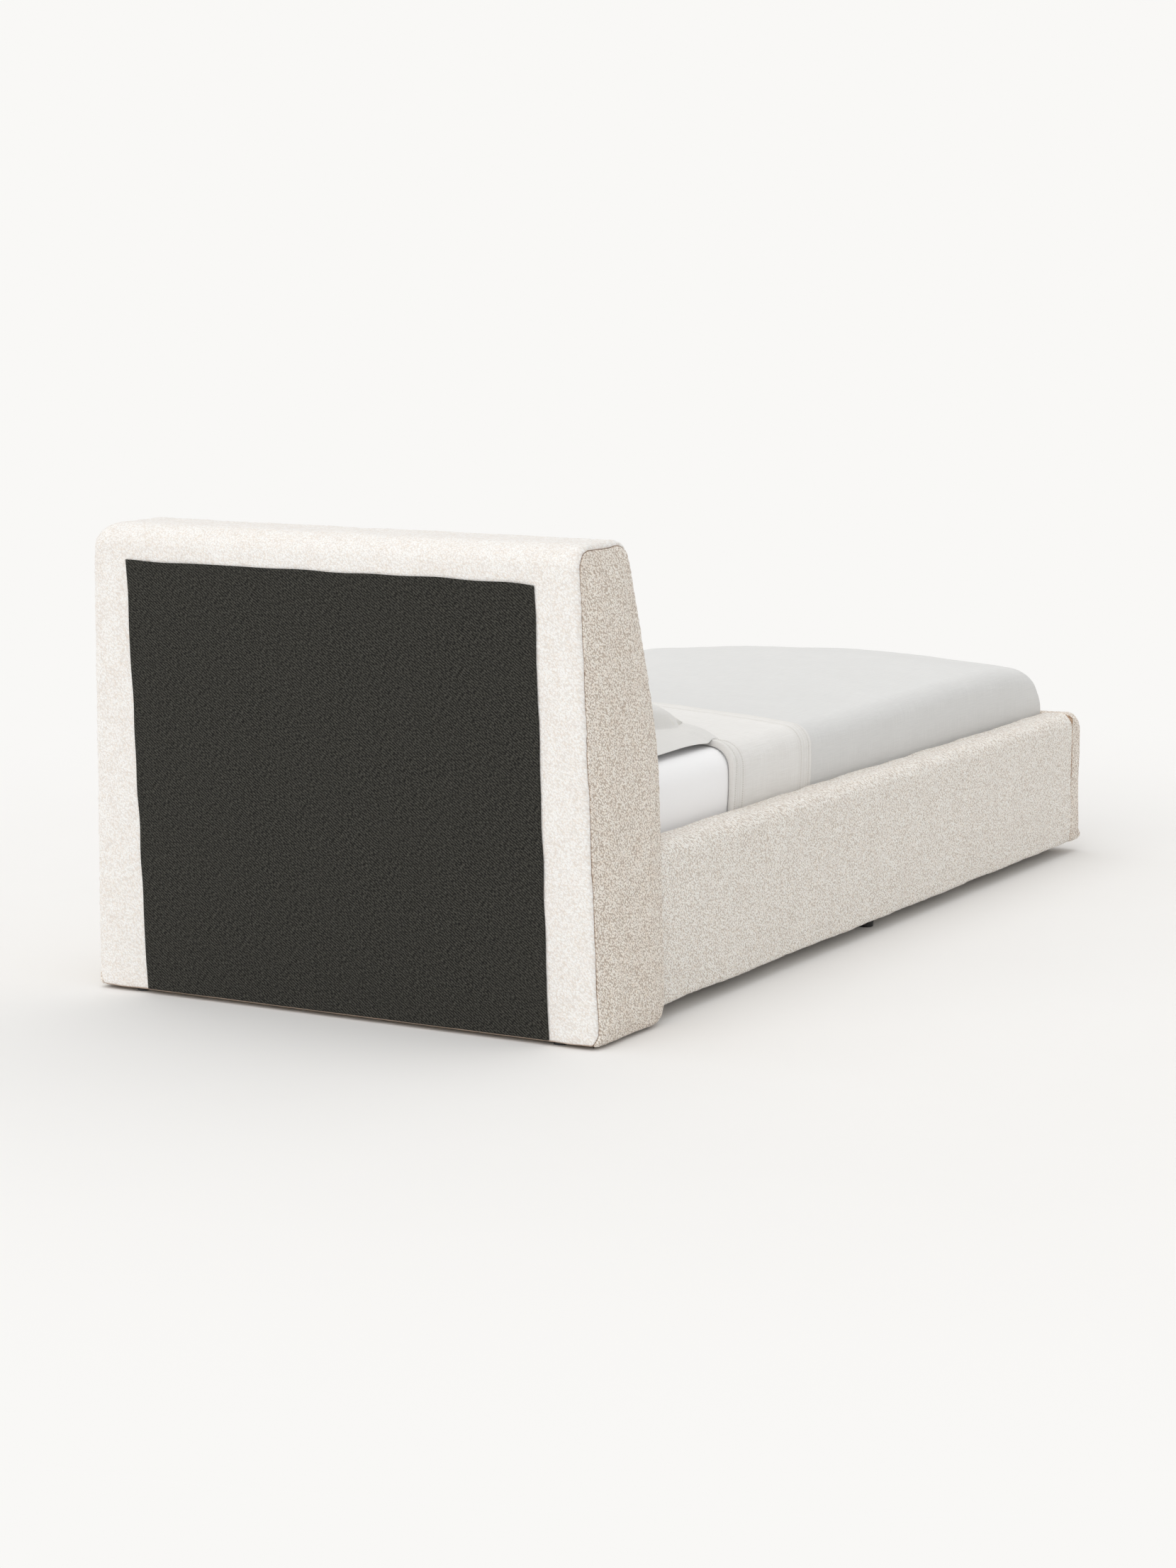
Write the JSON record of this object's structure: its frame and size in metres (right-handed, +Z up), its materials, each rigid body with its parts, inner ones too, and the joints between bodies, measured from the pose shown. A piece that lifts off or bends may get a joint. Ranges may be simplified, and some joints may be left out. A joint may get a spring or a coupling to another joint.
{
  "type": "sleigh bed",
  "caption": "Single upholstered bed with a tapered, backward-leaning padded headboard, low padded rails and footboard, slatted base, mattress and bedding.",
  "frame": {"origin": "on the floor, under the middle of the whole bed (centre of the bounding box's bottom)", "axes": "+Z up; +Y towards the headboard; +X to the right when seen from the foot end"},
  "size_m": [1.0996, 2.3671, 0.9],
  "materials": {
    "boucle": "matte",
    "black_cloth": "matte",
    "foam": "matte",
    "plywood": "satin",
    "softwood": "satin",
    "hardboard": "satin",
    "beech": "satin",
    "black_plastic": "matte",
    "zinc_steel": "satin",
    "brass_insert": "satin",
    "webbing": "matte",
    "ticking": "matte",
    "white_sheet": "matte",
    "coverlet_cotton": "matte",
    "blanket_linen": "matte",
    "pillow_ticking": "matte",
    "pillow_linen": "matte"
  },
  "bodies": {
    "frame": {"bracket_bolts": "zinc_steel", "corner_bracket_foot_left": "zinc_steel", "corner_bracket_foot_right": "zinc_steel", "corner_bracket_head_left": "zinc_steel", "corner_bracket_head_right": "zinc_steel", "feet": "black_plastic", "foot_board": "plywood", "foot_cover": "boucle", "foot_foam": "foam", "headboard_back_cloth": "black_cloth", "headboard_bottom_rail": "softwood", "headboard_centre_studs": "softwood", "headboard_cover": "boucle", "headboard_end_cover_left": "boucle", "headboard_end_cover_right": "boucle", "headboard_end_foam_left": "foam", "headboard_end_foam_right": "foam", "headboard_end_panel_left": "plywood", "headboard_end_panel_right": "plywood", "headboard_front_foam": "foam", "headboard_glides": "black_plastic", "headboard_hardboard": "hardboard", "headboard_lower_board": "plywood", "headboard_middle_rail": "softwood", "headboard_post_left": "softwood", "headboard_post_right": "softwood", "headboard_screws": "zinc_steel", "headboard_top_rail": "softwood", "ledge_screws": "zinc_steel", "rail_board_left": "plywood", "rail_board_right": "plywood", "rail_cover_left": "boucle", "rail_cover_right": "boucle", "rail_foam_left": "foam", "rail_foam_right": "foam", "slat_01": "beech", "slat_02": "beech", "slat_03": "beech", "slat_04": "beech", "slat_05": "beech", "slat_06": "beech", "slat_07": "beech", "slat_08": "beech", "slat_09": "beech", "slat_10": "beech", "slat_11": "beech", "slat_12": "beech", "slat_13": "beech", "slat_14": "beech", "slat_ledge_left": "softwood", "slat_ledge_right": "softwood", "slat_screws": "zinc_steel", "slat_tapes": "webbing", "threaded_inserts": "brass_insert"},
    "mattress": {"mattress": "ticking", "fitted_sheet": "white_sheet", "coverlet": "coverlet_cotton", "folded_blanket": "blanket_linen"},
    "pillow": {"pillow": "pillow_ticking", "pillowcase": "pillow_linen"}
  },
  "joints": [
    {"name": "mattress_lift", "type": "slide", "parent": "frame", "child": "mattress", "axis": [0, 0, 1], "range_m": [0, 0.3]},
    {"name": "pillow_lift", "type": "slide", "parent": "mattress", "child": "pillow", "axis": [0, 0, 1], "range_m": [0, 0.3]}
  ]
}
